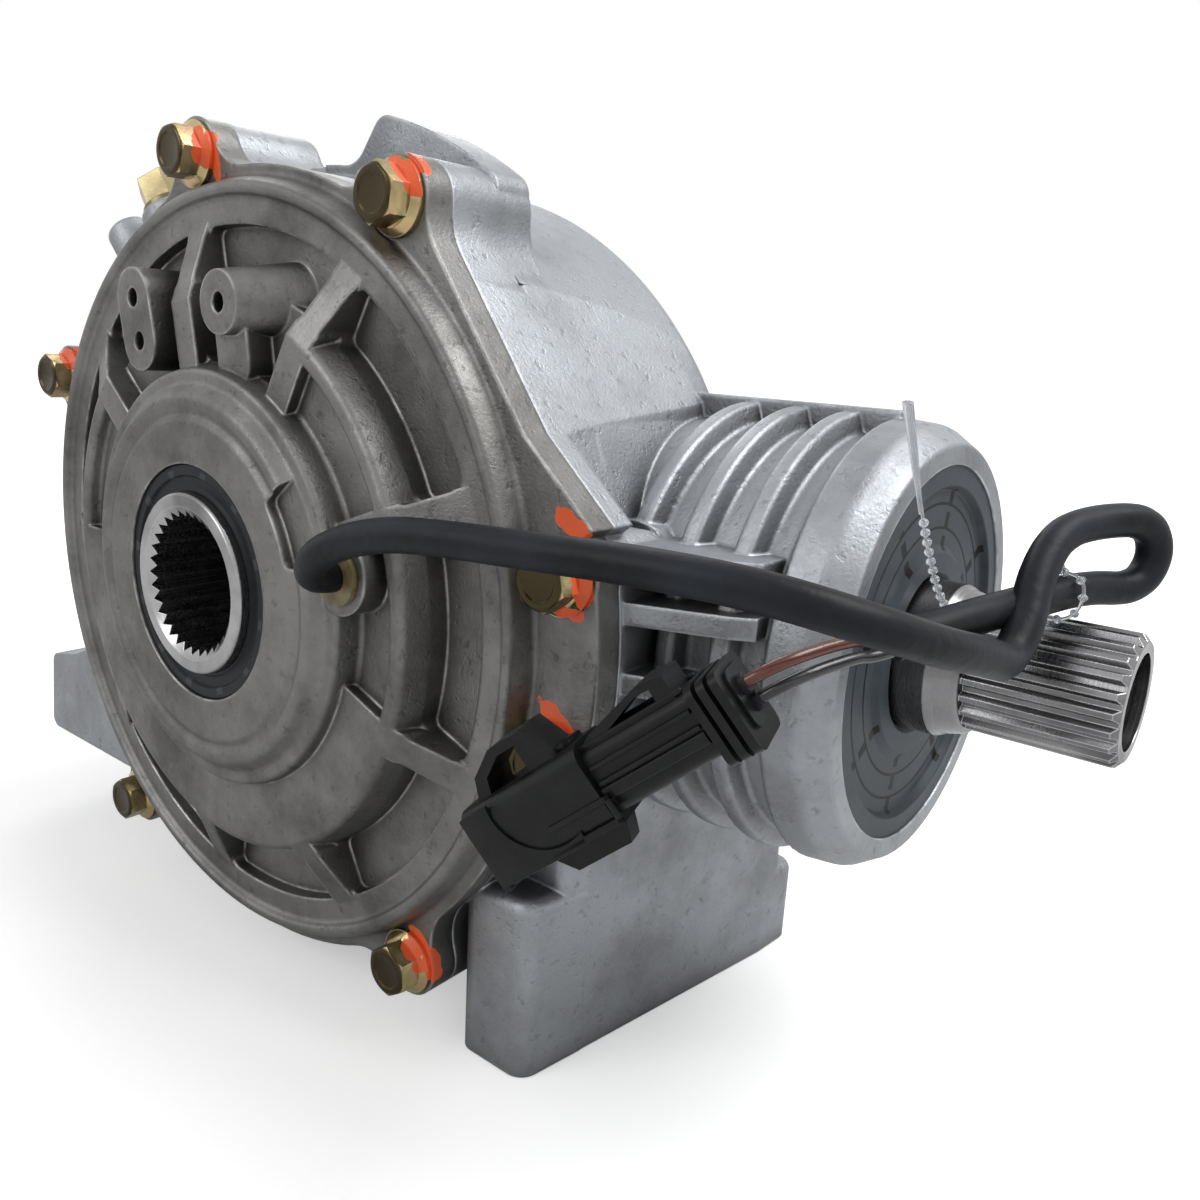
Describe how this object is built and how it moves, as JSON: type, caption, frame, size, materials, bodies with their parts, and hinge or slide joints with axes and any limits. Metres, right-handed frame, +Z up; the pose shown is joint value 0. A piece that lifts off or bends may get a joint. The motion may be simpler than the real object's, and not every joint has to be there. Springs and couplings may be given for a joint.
{
  "type": "front differential",
  "caption": "Front differential gearcase with a ribbed pinion nose, splined output hubs, bolted cover, cast feet and a coil lead with its connector.",
  "frame": {"origin": "where the axle axis and the pinion axis cross", "axes": "+X along the axle axis away from the bolted cover, -Y out along the pinion shaft, +Z up"},
  "size_m": [0.1641, 0.2976, 0.1945],
  "materials": {
    "housing_cast": "bright cast aluminium, blasted",
    "cover_cast": "bare cast aluminium, worn on its edges",
    "yellow_zinc": "yellow zinc plate",
    "black_rubber": "moulded rubber, satin",
    "hub_steel": "turned and ground steel",
    "gear_steel": "case-hardened steel",
    "shaft_steel": "ground steel with a darker rolled spline",
    "spring_steel": "oiled spring steel",
    "bronze": "sintered bronze",
    "brass": "dull brass",
    "copper_winding": "enamelled copper wire",
    "amber_rubber": "amber silicone rubber",
    "black_sleeve": "matt heat-shrink sleeve",
    "wire_brown": "wire insulation",
    "wire_grey": "wire insulation",
    "black_nylon": "glass-filled nylon, satin",
    "clear_nylon": "clear nylon"
  },
  "bodies": {
    "case": {"gearcase_housing": "housing_cast", "output_cover": "cover_cast", "cover_bolts": "yellow_zinc", "cover_seal_ring": "black_rubber", "output_seal_left": "black_rubber", "output_seal_right": "black_rubber", "output_bushing_left": "bronze", "output_bushing_right": "bronze", "ring_bushing_left": "bronze", "ring_bushing_right": "bronze", "coil_body": "gear_steel", "coil_winding": "copper_winding", "hub_thrust_washer": "hub_steel", "pinion_bearing_outer_ring": "hub_steel", "pinion_bearing_rollers": "hub_steel", "pinion_bearing_cage": "black_nylon", "pinion_snap_ring": "spring_steel", "pinion_seal": "black_rubber", "fill_plug": "brass", "drain_plug": "brass", "lead_grommet": "amber_rubber", "lead_sleeve": "black_sleeve", "wire_brown": "wire_brown", "wire_grey": "wire_grey", "connector_plug": "black_nylon", "connector_shell": "black_nylon", "connector_rear_lock": "black_nylon", "connector_wire_seals": "black_rubber", "beaded_tie": "clear_nylon"},
    "hub_left": {"output_hub_left": "hub_steel"},
    "hub_right": {"output_hub_right": "hub_steel"},
    "ring": {"ring_gear": "gear_steel", "centring_spring": "spring_steel"},
    "cage": {"roll_cage": "black_nylon", "clutch_rollers_left": "hub_steel", "clutch_rollers_right": "hub_steel"},
    "armature": {"armature_plate": "gear_steel"},
    "pinion": {"pinion_shaft": "shaft_steel", "pinion_bearing_inner_ring": "hub_steel", "pinion_circlip": "spring_steel"}
  },
  "joints": [
    {"name": "ring_gear_spin", "type": "hinge", "parent": "case", "child": "ring", "pos_m": [0, 0, 0], "axis": [1, 0, 0], "continuous": true},
    {"name": "pinion_spin", "type": "hinge", "parent": "case", "child": "pinion", "pos_m": [0, 0, 0], "axis": [0, 1, 0], "continuous": true},
    {"name": "hub_left_spin", "type": "hinge", "parent": "case", "child": "hub_left", "pos_m": [0, 0, 0], "axis": [1, 0, 0], "continuous": true},
    {"name": "hub_right_spin", "type": "hinge", "parent": "case", "child": "hub_right", "pos_m": [0, 0, 0], "axis": [1, 0, 0], "continuous": true},
    {"name": "cage_shift", "type": "hinge", "parent": "ring", "child": "cage", "pos_m": [0, 0, 0], "axis": [1, 0, 0], "range_deg": [-1.9, 1.9]},
    {"name": "armature_pull", "type": "slide", "parent": "cage", "child": "armature", "axis": [-1, 0, 0], "range_m": [0, 0.0004]}
  ],
  "couplings": [
    {"joint": "pinion_spin", "follows": "ring_gear_spin", "ratio": -3.8182}
  ]
}
